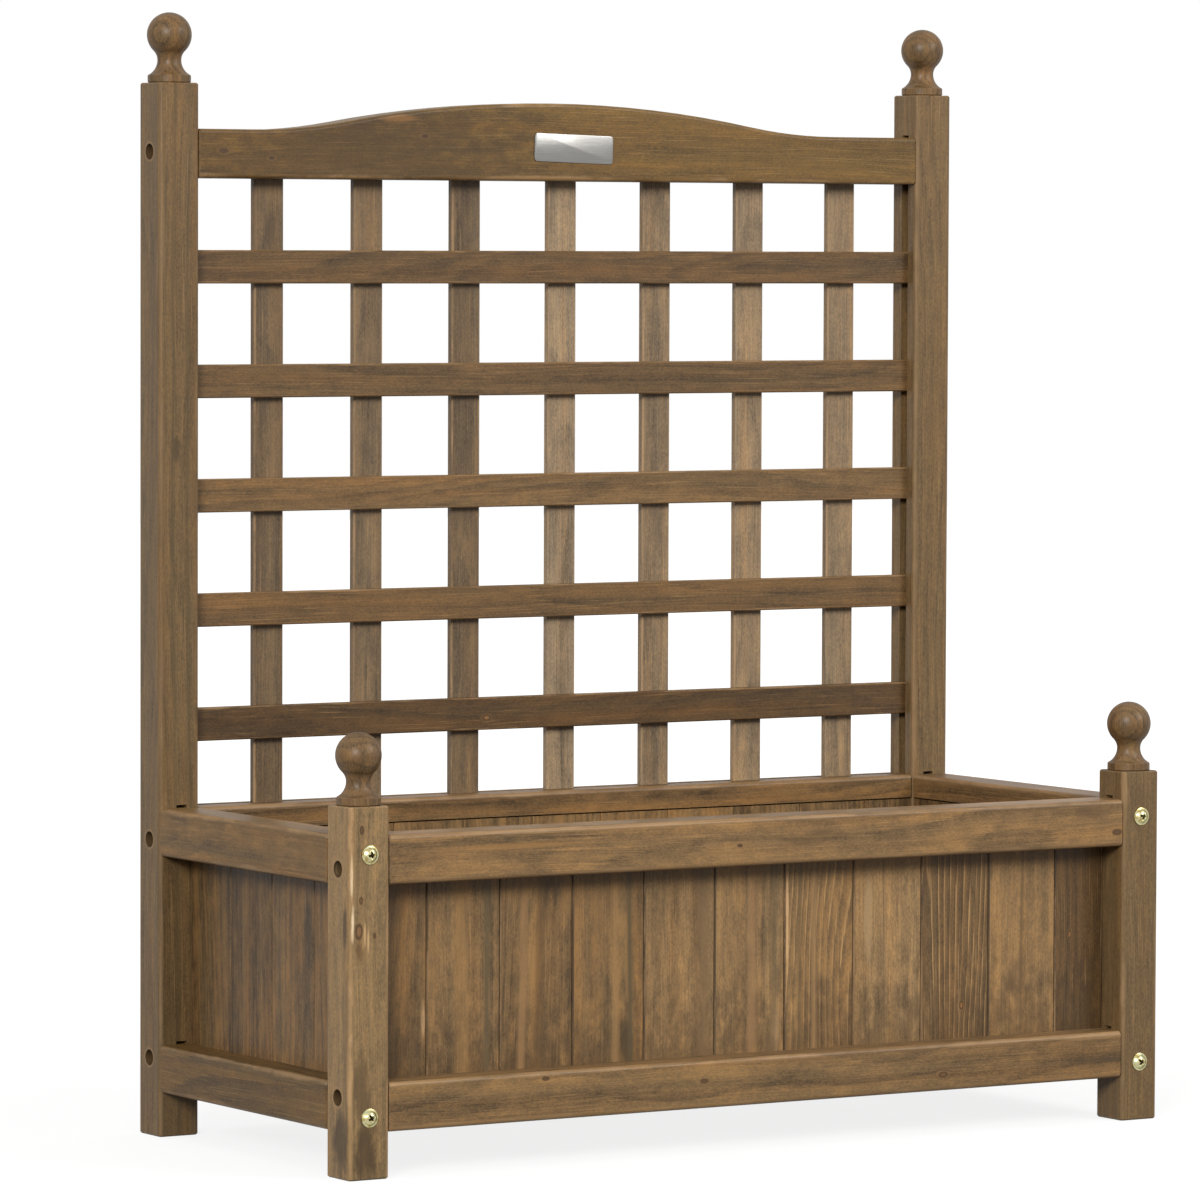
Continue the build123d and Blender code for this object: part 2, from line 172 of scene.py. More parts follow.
# Posts. Four square bars of planed softwood with rounded corners, brushed with a thin brown stain that
# sinks in unevenly, then rubbed light along the corners. Rails are tenoned into them.
def stained_softwood(name, node, grain, seed, tone=1.0, stain="#7C603E", olive_share=0.5, rings=0.4,
                     ring_width=4.5, pith=(26, 17), lean=1.4, edge=3.0, worn=0.35, seam=0.0,
                     fleck=0.25, contrast=0.6, bright=0.0, knots=(), streaks=(),
                     patches=(), bores=(), board_pitch=0.0):
    """Softwood in a thin, uneven stain, semi-matt. The eye sees growth rings cut along the bar, long fibres,
    soft brown and olive bands where the stain sank in, pale worn corners, dark ends and a few knots.

    grain is the axis that the wood grows along, and seed moves every noise, so that no two bars look alike.
    Rings lie at equal steps of distance from a pith that is pith millimetres from the bar's middle and
    wanders and leans along it. A knot (centre, radius, and at times its core's colour) has None in its
    centre for the axis it runs through, and pushes the grain aside. A streak (axis, place, width, colour,
    strength) is a soft band along the grain. A patch (centre, half its length along the grain, half its
    width, colour, strength) is a soft-edged spot on the faces that look along its None axis. A bore (y, z,
    radius) is a drilled hole along X, darkened inside with painted shade, with a pale rim. worn rubs the
    corners pale over edge millimetres, seam darkens them as at a joint, fleck lightens single fibres and
    bright draws each ring's pale edge. board_pitch splits one node into boards along X."""
    low, high = (np.array(corner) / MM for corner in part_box(node))
    middle, half = (low + high) / 2, (high - low) / 2
    sides = [axis for axis in range(3) if axis != grain]
    stain = np.array(linear(stain)) * (tone, tone ** 1.1, tone ** 1.25, 1)
    deep, thin = stain * (0.40, 0.42, 0.45, 1), stain * (1.72, 1.62, 1.42, 1)
    wood = new_material(name)
    position = add_node(wood, "TexCoord", {})
    facing = position.outputs["Normal"]
    place = add_node(wood, "Mapping", {"Vector": position.outputs["Object"], "Scale": (1 / MM,) * 3,
                                       "Location": -middle})
    straight = add_node(wood, "SeparateXYZ", {0: place})
    if board_pitch:
        shift = add_node(wood, "Math", {0: straight.outputs[0], 1: board_pitch / 2, 2: -board_pitch / 2},
                         operation="WRAP")
        number = add_node(wood, "Math", {0: straight.outputs[0], 1: shift}, operation="SUBTRACT")
        chance = add_node(wood, "TexWhiteNoise", {"W": number}, noise_dimensions="1D")
        jump = add_node(wood, "VectorMath", {0: chance.outputs["Color"], 1: (40, 40, 900)},
                        operation="MULTIPLY")
        place = add_node(wood, "VectorMath", {0: place, 1: jump}, operation="ADD")

    # Slow wander of the grain: one turn to about 400 mm along the bar. It moves the fibres and the pith
    # sideways, each way by half of these millimetres at most.
    fibre_sway, pith_sway = 16, 34
    slow = np.full(3, 1 / 110)
    slow[grain] = 1 / 400
    spread = add_node(wood, "Mapping", {"Vector": place, "Scale": slow, "Location": (seed, seed * 0.7, 5)})
    wander = add_node(wood, "TexNoise", {"Vector": spread, "Scale": 1.0, "Detail": 2.0}).outputs["Color"]
    wander = add_node(wood, "VectorMath", {0: wander, 1: (0.5,) * 3}, operation="SUBTRACT")
    crosswise = np.ones(3)
    crosswise[grain] = 0
    sway = add_node(wood, "VectorMath", {0: wander, 1: crosswise * fibre_sway, 2: place},
                    operation="MULTIPLY_ADD")

    # Each knot squeezes the grain round it, over about three times its own radius.
    knot_marks = []
    for centre, radius, *core in knots:
        through = centre.index(None)
        offset = np.array([at or 0 for at in centre]) - middle
        oval = np.ones(3)
        oval[grain], oval[through] = 0.55, 0
        beside = add_node(wood, "Mapping", {"Vector": place, "Scale": oval, "Location": -offset * oval})
        away = add_node(wood, "VectorMath", {0: beside}, operation="LENGTH").outputs["Value"]
        squeeze = add_node(wood, "MapRange", {"Value": away, "From Max": radius * 3.2, "To Min": 0.8,
                                              "To Max": 0.0}, interpolation_type="SMOOTHERSTEP")
        push = add_node(wood, "VectorMath", {0: beside, 1: -crosswise}, operation="MULTIPLY")
        push = add_node(wood, "VectorMath", {0: push, "Scale": squeeze}, operation="SCALE")
        sway = add_node(wood, "VectorMath", {0: sway, 1: push}, operation="ADD")
        knot_marks.append((away, radius, core[0] if core else "#8C6238"))

    # Figure at five sizes, each a noise stretched along the grain: millimetres along, across, and detail.
    # The finest real fibres, under 0.1 mm, are drawn 0.8 mm wide, because finer ones don't show.
    figure = {}
    for layer, (along, across, detail) in {
        "bands": (420, 9, 1.5), "stain": (70, 24, 3.0), "blots": (14, 7, 3.0), "fibre": (55, 0.8, 2.0),
        "speck": (2.2, 1.0, 1.0),
    }.items():
        scale = np.full(3, 1 / across)
        scale[grain] = 1 / along
        spread = add_node(wood, "Mapping", {"Vector": sway, "Scale": scale,
                                            "Location": (seed * 1.7, seed * 2.3, seed * 3.1)})
        figure[layer] = add_node(wood, "TexNoise", {"Vector": spread, "Scale": 1.0, "Detail": detail,
                                                    "Roughness": 0.55})
    bands = add_node(wood, "SeparateColor", {0: figure["bands"].outputs["Color"]})
    fibre = figure["fibre"].outputs["Fac"]
    speck = figure["speck"].outputs["Fac"]

    # Growth rings: pale early wood that darkens slowly, then a narrow dark line of late wood.
    pith_place = np.zeros(3)
    pith_place[sides] = pith
    tilt = np.zeros(3)
    tilt[sides] = np.radians(lean), np.radians(-lean * 0.6)
    rings_at = add_node(wood, "VectorMath", {0: wander, 1: crosswise * pith_sway, 2: sway},
                        operation="MULTIPLY_ADD")
    rings_at = add_node(wood, "Mapping", {"Vector": rings_at, "Rotation": tilt, "Location": -pith_place})
    rings_at = add_node(wood, "VectorMath", {0: rings_at, 1: crosswise}, operation="MULTIPLY")
    distance = add_node(wood, "VectorMath", {0: rings_at}, operation="LENGTH").outputs["Value"]
    ring = add_node(wood, "Math", {0: fibre, 1: 0.3 * ring_width, 2: distance}, operation="MULTIPLY_ADD")
    ring = add_node(wood, "Math", {0: ring, 1: 1 / ring_width}, operation="MULTIPLY")
    ring = add_node(wood, "Math", {0: ring}, operation="FRACT")
    late = add_node(wood, "ValToRGB", {0: ring})
    late.color_ramp.elements[0].color = (0, 0, 0, 1)
    for at, grey in ((0.40, 0.10), (0.78, 0.80), (0.90, 1.0)):
        late.color_ramp.elements.new(at).color = (grey, grey, grey, 1)
    late.color_ramp.elements[-1].color = (0, 0, 0, 1)
    late = late.outputs["Color"]

    # Depth of the stain: each layer (value, weight, the value's mean) lifts or lowers it about 0.5.
    parts = [
        (bands.outputs[0], 1.3 * contrast, 0.5), (figure["stain"].outputs["Fac"], 1.3 * contrast, 0.5),
        (figure["blots"].outputs["Fac"], 1.0 * contrast, 0.5), (fibre, 0.7, 0.5), (speck, 0.8, 0.5),
        (late, -rings * 0.6, 0.35),
    ]
    if board_pitch:
        parts.append((chance.outputs["Value"], 0.3, 0.5))
    depth = 0.5 - sum(weight * mean for value, weight, mean in parts)
    for value, weight, mean in parts:
        depth = add_node(wood, "Math", {0: value, 1: weight, 2: depth}, operation="MULTIPLY_ADD")
    colour = add_node(wood, "ValToRGB", {0: depth})
    colour.color_ramp.elements[0].color = deep
    colour.color_ramp.elements.new(0.5).color = stain
    colour.color_ramp.elements[-1].color = thin
    olive = add_node(wood, "MapRange", {"Value": bands.outputs[1], "From Min": 0.46, "From Max": 0.66,
                                        "To Max": olive_share}, interpolation_type="SMOOTHSTEP")
    warm = add_node(wood, "MapRange", {"Value": bands.outputs[1], "From Min": 0.48, "From Max": 0.32,
                                       "To Max": 0.5}, interpolation_type="SMOOTHSTEP")
    for mask, tint in ((olive, (0.93, 1.02, 1.12, 1)), (warm, (1.08, 1.0, 0.88, 1))):
        colour = add_node(wood, "Mix", {0: mask, 6: colour, 7: tint}, data_type="RGBA",
                          blend_type="MULTIPLY").outputs[2]

    # Marks over the stain, each a mask and a colour: flecks, pale ring edges, patches, streaks, knots, dark
    # joints, rubbed corners, bores and end grain. A knot is a halo, a ring of bark and a core.
    fleck_tan, ring_edge_tan, worn_tan, bore_rim_tan = "#B38F62", "#B48E5E", "#BE976A", "#AC875A"
    halo_brown, bark_brown, seam_brown = "#8F6C40", "#3E2B19", "#2E2316"
    # bore_shade_brown, the inside of the bores, is painted shade; end_brown is the dark end grain.
    bore_shade_brown, end_brown = "#2B1F13", "#4A3824"
    layers = [(add_node(wood, "MapRange", {"Value": fibre, "From Min": 0.60, "From Max": 0.78,
                                           "To Max": fleck}, interpolation_type="SMOOTHSTEP"), fleck_tan)]
    if bright:
        line = add_node(wood, "MapRange", {"Value": ring, "From Max": 0.30, "To Min": bright, "To Max": 0.0},
                        interpolation_type="SMOOTHSTEP")
        broken = add_node(wood, "MapRange", {"Value": fibre, "From Min": 0.40, "From Max": 0.58})
        line = add_node(wood, "Math", {0: line, 1: broken}, operation="MULTIPLY")
        layers.append((line, ring_edge_tan))
    for centre, long_half, wide_half, tint, strength in patches:
        through = centre.index(None)
        size = np.full(3, 1 / wide_half)
        size[grain], size[through] = 1 / long_half, 0
        offset = np.array([at or 0 for at in centre]) - middle
        spot = add_node(wood, "Mapping", {"Vector": place, "Scale": size, "Location": -offset * size})
        spot = add_node(wood, "VectorMath", {0: spot}, operation="LENGTH").outputs["Value"]
        spot = add_node(wood, "Math", {0: figure["blots"].outputs["Fac"], 1: 1.6, 2: spot},
                        operation="MULTIPLY_ADD")
        spot = add_node(wood, "MapRange", {"Value": spot, "From Min": 1.2, "From Max": 2.1,
                                           "To Min": strength, "To Max": 0.0},
                        interpolation_type="SMOOTHSTEP")
        outward = np.zeros(3)
        outward[through] = 1
        ahead = add_node(wood, "VectorMath", {0: facing, 1: outward}, operation="DOT_PRODUCT")
        ahead = add_node(wood, "Math", {0: ahead.outputs["Value"]}, operation="ABSOLUTE")
        ahead = add_node(wood, "MapRange", {"Value": ahead, "From Min": 0.45, "From Max": 0.8})
        layers.append((add_node(wood, "Math", {0: spot, 1: ahead}, operation="MULTIPLY"), tint))
    swayed = add_node(wood, "SeparateXYZ", {0: sway})
    for axis, at, width, tint, strength in streaks:
        off = add_node(wood, "Math", {0: swayed.outputs[axis], 1: at - middle[axis]}, operation="SUBTRACT")
        off = add_node(wood, "Math", {0: off}, operation="ABSOLUTE")
        off = add_node(wood, "Math", {0: bands.outputs[2], 1: width * 0.8, 2: off},
                       operation="MULTIPLY_ADD")
        layers.append((add_node(wood, "MapRange", {
            "Value": off, "From Min": width * 0.5, "From Max": width * 1.25, "To Min": strength,
            "To Max": 0.0}, interpolation_type="SMOOTHSTEP"), tint))
    for away, radius, core in knot_marks:
        rough_edge = add_node(wood, "Math", {0: figure["blots"].outputs["Fac"], 1: radius * 0.7, 2: away},
                              operation="MULTIPLY_ADD")
        for inner, outer, strength, tint in (
            (1.0, 2.3, 0.30, halo_brown), (1.1, 1.6, 0.85, bark_brown), (0.75, 1.1, 0.80, core),
        ):
            layers.append((add_node(wood, "MapRange", {
                "Value": rough_edge, "From Min": radius * inner, "From Max": radius * outer,
                "To Min": strength, "To Max": 0.0}, interpolation_type="SMOOTHSTEP"), tint))
    inside = []
    for axis in sides:
        reach = add_node(wood, "Math", {0: straight.outputs[axis]}, operation="ABSOLUTE")
        inside.append(add_node(wood, "Math", {0: half[axis], 1: reach}, operation="SUBTRACT"))
    corner = add_node(wood, "Math", {0: inside[0], 1: inside[1]}, operation="ADD")
    layers.append((add_node(wood, "MapRange", {
        "Value": corner, "From Min": edge * 0.75, "From Max": edge * 1.15, "To Min": seam, "To Max": 0.0},
    ), seam_brown))
    for value, weight in ((figure["stain"].outputs["Fac"], 3.2), (figure["blots"].outputs["Fac"], 1.6),
                          (speck, 0.8)):
        corner = add_node(wood, "Math", {0: value, 1: edge * weight, 2: corner}, operation="MULTIPLY_ADD")
    layers.append((add_node(wood, "MapRange", {
        "Value": corner, "From Min": edge * 2.9, "From Max": edge * 3.9, "To Min": worn, "To Max": 0.0,
    }, interpolation_type="SMOOTHSTEP"), worn_tan))
    # Each bore is darkened inside with painted shade, and has a pale rim.
    for y, z, radius in bores:
        beside = add_node(wood, "Mapping", {"Vector": place, "Scale": (0, 1, 1),
                                            "Location": (0, middle[1] - y, middle[2] - z)})
        away = add_node(wood, "VectorMath", {0: beside}, operation="LENGTH").outputs["Value"]
        for inner, outer, strength, tint in ((0.4, 2.4, 0.4, bore_rim_tan), (0.1, 0.7, 0.75, bore_shade_brown)):
            layers.append((add_node(wood, "MapRange", {
                "Value": away, "From Min": radius + inner, "From Max": radius + outer, "To Min": strength,
                "To Max": 0.0}), tint))
    axis_way = np.zeros(3)
    axis_way[grain] = 1
    endwise = add_node(wood, "VectorMath", {0: facing, 1: axis_way}, operation="DOT_PRODUCT")
    endwise = add_node(wood, "Math", {0: endwise.outputs["Value"]}, operation="ABSOLUTE")
    layers.append((add_node(wood, "MapRange", {
        "Value": endwise, "From Min": 0.75, "From Max": 0.95, "To Max": 0.55}), end_brown))
    for mask, tint in layers:
        colour = add_node(wood, "Mix", {0: mask, 6: colour, 7: linear(tint)}, data_type="RGBA").outputs[2]

    # A thin semi-matt film, in which late wood and fibres stand up a little and shine more than the rest.
    rough = add_node(wood, "MapRange", {"Value": fibre, "From Min": 0.3, "From Max": 0.7, "To Min": 0.74,
                                        "To Max": 0.56})
    height = add_node(wood, "Math", {0: late, 1: 0.25, 2: fibre}, operation="MULTIPLY_ADD")
    height = add_node(wood, "Math", {0: speck, 1: 0.5, 2: height}, operation="MULTIPLY_ADD")
    bump = add_node(wood, "Bump", {"Strength": 0.45, "Distance": 0.3 * MM, "Height": height})
    surface = add_node(wood, "BsdfPrincipled", {
        "Base Color": colour, "Roughness": rough, "Normal": bump, "IOR": 1.45, "Specular IOR Level": 0.12,
        "Coat Weight": 0.40, "Coat Roughness": 0.38,
    })
    add_node(wood, "OutputMaterial", {"Surface": surface})
    for slot in nodes[node].material_slots:
        slot.material = wood


post_looks = {
    "post_front_left": dict(
        seed=3.1, tone=1.10, olive_share=0.3, rings=0.25, pith=(22, 30), worn=0.7, lean=0.8,
        knots=[((-310.9, None, 225.3), 1.7, "#5A4128"), ((-313.0, None, 160.0), 3.0, "#84603C"),
               ((-301.5, None, 157.0), 1.1, "#5A4128"), ((-311.5, None, 180.0), 1.5, "#6B5034")],
        # The two near-white thin patches on its front left corner are partly wear and partly painted
        # highlight.
        patches=[((-318.2, None, 196.0), 16, 0.8, "#EBD4AE", 0.8),
                 ((-317.6, None, 166.0), 11, 1.1, "#EBD4AE", 0.8),
                 ((-308.6, None, 158.0), 9, 1.1, "#C9A374", 0.8),
                 ((-306.2, None, 153.0), 9, 0.9, "#C9A374", 0.7),
                 ((-312.5, None, 148.0), 8, 3.2, "#5A4126", 0.7),
                 ((None, -136.5, 162.0), 17, 2.6, "#4A3722", 0.9),
                 ((-311.0, None, 58.0), 24, 7.0, "#54422C", 0.75),
                 ((-308.0, None, 18.0), 22, 10.0, "#43331F", 0.85),
                 ((None, -132.0, 24.0), 24, 10.0, "#43331F", 0.8),
                 ((None, -137.0, 110.0), 60, 5.0, "#5D4A31", 0.4)]),
    "post_front_right": dict(
        seed=4.6, tone=0.69, olive_share=0.5, rings=0.1, pith=(-30, 24), worn=0.3, lean=0.7, contrast=0.35,
        # Its one patch darkens its side faces between the rails: painted shade on the inner face by the front
        # boards.
        patches=[((None, -127.5, 120.0), 90, 9.0, "#54442D", 0.4)]),
    "post_back_left": dict(
        seed=5.2, tone=0.66, olive_share=0.6, rings=0.3, pith=(18, 26), worn=0.15, lean=0.6, contrast=0.4,
        streaks=[(0, -309.0, 3.0, "#4E4029", 0.5), (0, -298.0, 2.6, "#4E4029", 0.45)],
        patches=[((-308.0, None, 461.0), 9, 4.0, "#3F3220", 0.7),
                 ((-291.5, None, 285.0), 8, 2.5, "#463622", 0.6)]),
    "post_back_right": dict(
        seed=6.9, tone=0.73, olive_share=0.5, rings=0.3, pith=(-24, 20), worn=0.2, lean=0.6, contrast=0.4),
}
# The posts' middles are post_x and post_y from the planter's. Bores go into their outer end faces, level
# with the front and back rails, and the back posts have one more, level with the arched rail.
post_x, post_y, post_half = 305, 127.5, 15
bore_radius, bore_depth = 5.25, 10
rail_bore_heights, arch_bore_height = (52.5, 199.5), 660.0
for node, looks in post_looks.items():
    back = "back" in node
    bore_heights = (*rail_bore_heights, arch_bore_height) if back else rail_bore_heights
    stained_softwood("stained_softwood_" + node, node, grain=2, stain="#7C6342", **looks,
                     bores=[(post_y if back else -post_y, z, bore_radius) for z in bore_heights])

# Box rails. Eight bars of the same stock, tenoned into the posts at the top and bottom of the box, with a
# rebate behind that takes the boards. The two in front took less stain than the others.
rail_looks = {
    "front_top_rail": dict(
        grain=0, seed=8.3, tone=0.92, olive_share=0.3, rings=0.5, ring_width=7, pith=(34, -12),
        contrast=0.7, knots=[((284.7, None, 199.0), 2.3, "#5A4128"), ((-22.8, None, 203.0), 1.2, "#4A3520")],
        patches=[((-200.0, None, 210.0), 60, 2.2, "#9A7243", 0.6),
                 ((262.0, None, 213.0), 30, 4.0, "#5E472C", 0.5),
                 ((30.0, None, 205.0), 26, 5.0, "#5E472C", 0.45)]),
    "front_bottom_rail": dict(
        grain=0, seed=9.7, tone=0.87, olive_share=0.5, rings=0.4, ring_width=6, pith=(30, 14),
        contrast=0.7,
        knots=[((-172.5, None, 57.4), 1.8, "#5A4128"), ((-50.3, None, 48.3), 1.7, "#5A4128"),
               ((141.3, None, 41.0), 2.0, "#6B4D2C")]),
    "left_top_rail": dict(grain=1, seed=11.2, tone=0.73, stain="#7C5F37", rings=0.4, ring_width=6,
                          pith=(28, 10)),
    "left_bottom_rail": dict(grain=1, seed=12.9, tone=0.55, stain="#7C5F34", rings=0.4, ring_width=7,
                             pith=(26, -16)),
    "right_top_rail": dict(grain=1, seed=14.1, tone=0.68, rings=0.35, ring_width=6, pith=(-28, 12)),
    "right_bottom_rail": dict(grain=1, seed=15.8, tone=0.7, rings=0.35, ring_width=5, pith=(-22, 16)),
    "back_top_rail": dict(grain=0, seed=17.5, tone=0.68, rings=0.4, ring_width=6, pith=(-30, 10),
                          contrast=0.8),
    "back_bottom_rail": dict(grain=0, seed=18.4, tone=0.7, rings=0.4, ring_width=5, pith=(-26, 18)),
}
for node, looks in rail_looks.items():
    stained_softwood("stained_softwood_" + node, node, **looks)

# Box boards. Thin tongued and grooved softwood boards that stand on end in the rails' rebates. They were
# stained before they were put together, so that each has its own tone, and their joints show as dark lines.
# board_cover is what each covers between its tongue and its groove.
board_edge, board_cover = 0.9, 55.4
# Each front board is darkened towards its lower end: painted shade low between the rails.
first_board_middle, lower_shade_height = -277.0, 30.0
front_board_looks = [
    dict(tone=0.77, olive_share=0.6, rings=0.3, pith=(20, 25),
         patches=[((-251.8, None, 96.0), 14, 1.6, "#B8946A", 0.8)]),
    dict(tone=0.98, olive_share=0.5, rings=0.4, pith=(-8, 38), contrast=0.8, streaks=[
        (0, -203.5, 4.0, "#574A33", 0.75), (0, -222.0, 9.0, "#8F6D43", 0.45)]),
    dict(tone=0.84, olive_share=0.4, rings=0.35, pith=(26, 30), contrast=0.9, streaks=[
        (0, -175.6, 5.0, "#94714A", 0.6), (0, -163.4, 6.0, "#5C452A", 0.6)]),
    dict(tone=0.80, olive_share=0.7, rings=0.3, pith=(-12, 34), contrast=0.8, streaks=[
        (0, -94.0, 4.5, "#4F432D", 0.8), (0, -104.0, 5.0, "#96754C", 0.5)],
        patches=[((-96.5, None, 72.0), 16, 5.0, "#413521", 0.8)]),
    dict(tone=1.16, olive_share=0.4, rings=0.2, pith=(15, 40),
         streaks=[(0, -38.0, 9.0, "#6C553A", 0.65)]),
    dict(tone=1.17, olive_share=0.6, rings=0.25, pith=(-20, 30), contrast=0.8, streaks=[
        (0, 3.0, 6.0, "#94704A", 0.6), (0, 20.0, 5.0, "#5E4E35", 0.5)],
        patches=[((21.0, None, 76.0), 18, 4.0, "#A58662", 0.6)]),
    dict(tone=0.95, olive_share=0.5, rings=0.5, ring_width=5, pith=(48, 14), bright=0.8, contrast=0.8,
         lean=0.3, streaks=[(0, 41.5, 4.5, "#5D4A30", 0.6), (0, 54.5, 5.0, "#90704A", 0.7)],
         patches=[((30.0, None, 150.0), 40, 1.3, "#C9A274", 0.9)]),
    dict(tone=1.41, olive_share=0.3, rings=0.2, pith=(-10, 36), streaks=[(0, 106.0, 1.6, "#5F4B34", 0.6)],
         patches=[((95.0, None, 150.0), 34, 3.5, "#A98B64", 0.6)]),
    dict(tone=0.73, olive_share=0.5, rings=0.5, ring_width=4.2, pith=(-30, 12), bright=1.0, fleck=0.6,
         lean=2.6, knots=[((172.0, None, 84.0), 1.6)]),
    dict(tone=1.14, olive_share=0.2, rings=0.2, pith=(8, 38), streaks=[(0, 221.5, 2.2, "#604B31", 0.7)],
         patches=[((218.0, None, 102.0), 16, 9.0, "#6A5238", 0.5)]),
    dict(tone=0.53, olive_share=0.3, rings=0.3, pith=(12, 30), knots=[((262.0, None, 128.0), 1.6)]),
]
# lower_end_shade is that patch: painted shade, strongest at the board's foot.
for number, looks in enumerate(front_board_looks, 1):
    lower_end_shade = ((first_board_middle + board_cover * (number - 1), None, lower_shade_height), 75, 60,
                 "#3D2E1B", 0.5)
    stained_softwood(f"stained_board_front_{number}", f"front_board_{number}", grain=2,
                     seed=20 + 1.37 * number, edge=board_edge, seam=0.85,
                     **{**looks, "patches": [*looks.get("patches", ()), lower_end_shade]})
for side in ("left", "right"):
    for number, tone in enumerate((0.60, 0.56, 0.68, 0.62), 1):
        stained_softwood(f"stained_board_{side}_{number}", f"{side}_board_{number}", grain=2,
                         seed=40 + 1.91 * number + (8 if side == "right" else 0), tone=tone,
                         olive_share=0.9, edge=board_edge, seam=0.85, contrast=1.1,
                         pith=(12 + 2 * number, 26 * (-1) ** number))
stained_softwood("stained_boards_back", "back_boards", grain=2, seed=61.3, tone=0.85,
                 edge=board_edge, contrast=0.8, pith=(4, -38), board_pitch=board_cover)

# Floor of the box. Six sawn boards lie across two cleats inside the box, with gaps that let water out.
for node, grain, seed in (
    *((f"floor_board_{number}", 1, 70 + 2.3 * number) for number in range(1, 7)),
    ("floor_cleat_front", 0, 86.2), ("floor_cleat_back", 0, 88.4),
):
    stained_softwood("stained_" + node, node, grain, seed, tone=0.85, edge=1.2, rings=0.5,
                     pith=(5, 30))

# Arched rail. One bar sawn to a low arch along its top edge and rounded over, tenoned into the back posts
# under their tops. Its underside is grooved for the uprights.
stained_softwood(
    "stained_softwood_arched_rail", "arched_rail", grain=0, seed=92.7, stain="#7C5F30", tone=0.64,
    olive_share=0.3, rings=0.25, ring_width=8, pith=(32, 8), contrast=0.45,
    knots=[((-271.5, None, 661.0), 1.9, "#4A3520"), ((-234.8, None, 656.5), 1.3, "#3F2C1A"),
           ((-115.5, None, 672.4), 1.6, "#3F2C1A")],
    patches=[((-170.0, None, 650.0), 150, 60, "#3A2918", 0.55),
             ((-136.8, None, 684.0), 14, 3.0, "#8A6236", 0.6)])

# Crossbars. Five flat slats in front of the uprights, with their ends in grooves down the back posts.
for number, tone in enumerate((0.38, 0.62, 0.74, 0.60, 0.52), 1):
    stained_softwood(
        f"stained_crossbar_{number}", f"crossbar_{number}", grain=0, seed=100 + 2.9 * number,
        tone=tone, edge=1.1, rings=0.35, ring_width=5, contrast=0.55, pith=(-28, 6 * (-1) ** number),
        knots=[((-59.6, None, 272.9), 1.8)] if number == 1 else ())

# Uprights. Seven slats behind the crossbars, from the back rail up into the arched rail, fixed to each
# crossbar with a wire staple from behind.
for number, tone in enumerate((0.59, 0.71, 0.62, 1.22, 1.0, 1.13, 1.06), 1):
    stained_softwood(
        f"stained_upright_{number}", f"upright_{number}", grain=2, seed=120 + 3.7 * number,
        tone=tone, stain="#7C674E", edge=1.1, worn=0.45, rings=0.35, ring_width=5, contrast=0.6,
        pith=(4 * (-1) ** number, 30),
        patches=[((-227.0, None, 608.0), 16, 5.0, "#4A3A28", 0.6)] if number == 1 else ())

# Finials. A ball on a neck and a round base, turned on a lathe from the same softwood and stained, then
# stood on each post on a beech dowel.
for number, node in enumerate(name for name in sorted(nodes) if name.startswith("finial_")):
    if node != "finial_studs":
        stained_softwood("stained_" + node, node, grain=2, seed=150 + 4.1 * number, tone=0.66,
                         worn=0.0, rings=0.5, ring_width=3.5, pith=(14, 9), contrast=0.6)
stained_softwood("bare_beech_dowel", "finial_studs", grain=2, seed=171.0, stain="#B08D5E",
                 olive_share=0.1, worn=0.0, fleck=0.0)


# Domed screws. Steel screws with a washer face pressed under a domed head and a cross recess, zinc plated
# and passivated yellow. They go through the posts' front and back faces into the ends of the left and right
# rails.
def ring_mesh(name, rings, material, shade_amount=None):
    """Closed shapes in one mesh, from points in millimetres, an array (shapes, rings, points, 3). Each ring
    joins the next one with quads, and the first and last ring of a shape are closed with one face each.
    grime, one value for each point of a shape, goes to the material as the attribute recess_shade, which
    darkens the metal there with painted shade."""
    shapes, count, around = rings.shape[:3]
    index = np.arange(shapes * count * around).reshape(shapes, count, around)
    beside = np.roll(index, -1, axis=2)
    quads = np.stack((index[:, :-1], index[:, 1:], beside[:, 1:], beside[:, :-1]), axis=-1)
    ends = np.concatenate((index[:, 0], index[:, -1, ::-1])).tolist()
    mesh = bpy.data.meshes.new(name)
    mesh.from_pydata((rings.reshape(-1, 3) * MM).tolist(), [], quads.reshape(-1, 4).tolist() + ends)
    mesh.materials.append(material)
    mesh.shade_smooth()
    mesh.set_sharp_from_angle(angle=np.radians(35))
    if shade_amount is not None:
        values = mesh.attributes.new("recess_shade", "FLOAT", "POINT")
        values.data.foreach_set("value", np.tile(shade_amount.ravel(), shapes))
    piece = bpy.data.objects.new(name, mesh)
    bpy.context.scene.collection.objects.link(piece)
    return piece


def screw_rings(seats, outwards, turns, profile, around, recess_arm, recess_depth):
    """Screws as rings round their axes. The profile gives (radius, height over the seat) from the middle of
    the head to the point. The cross recess lowers a point of the head by its depth, less the further it lies
    along an arm, wherever it is within half an arm's width of either arm's middle line. Also returns how
    far each point of one screw is sunk."""
    turned = np.linspace(0, 2 * np.pi, around, endpoint=False)
    radius, height = np.array(profile, float).T
    along, beside = radius[:, None] * np.cos(turned), radius[:, None] * np.sin(turned)
    arm_half = recess_arm * 0.30
    sunk = np.zeros_like(along)
    for far, near in ((along, beside), (beside, along)):
        length_left = np.clip(1.15 - np.abs(far) / recess_arm, 0, 1)
        wall = np.clip((arm_half - np.abs(near)) / (arm_half * 0.35), 0, 1)
        sunk = np.maximum(sunk, length_left * wall)
    sunk[np.cumsum(np.append(0, np.abs(np.diff(radius)))) > recess_arm * 1.3] = 0
    level = height[:, None] - recess_depth * sunk
    shapes = []
    for seat, outward, turn in zip(seats, outwards, turns):
        outward = np.array(outward, float)
        side = np.array((-outward[1], outward[0], 0))
        across = np.cos(turn) * side + np.sin(turn) * np.array((0, 0, 1))
        upward = np.cross(outward, across)
        shapes.append(np.array(seat, float) + along[..., None] * across + beside[..., None] * upward
                      + level[..., None] * outward)
    return np.array(shapes), sunk
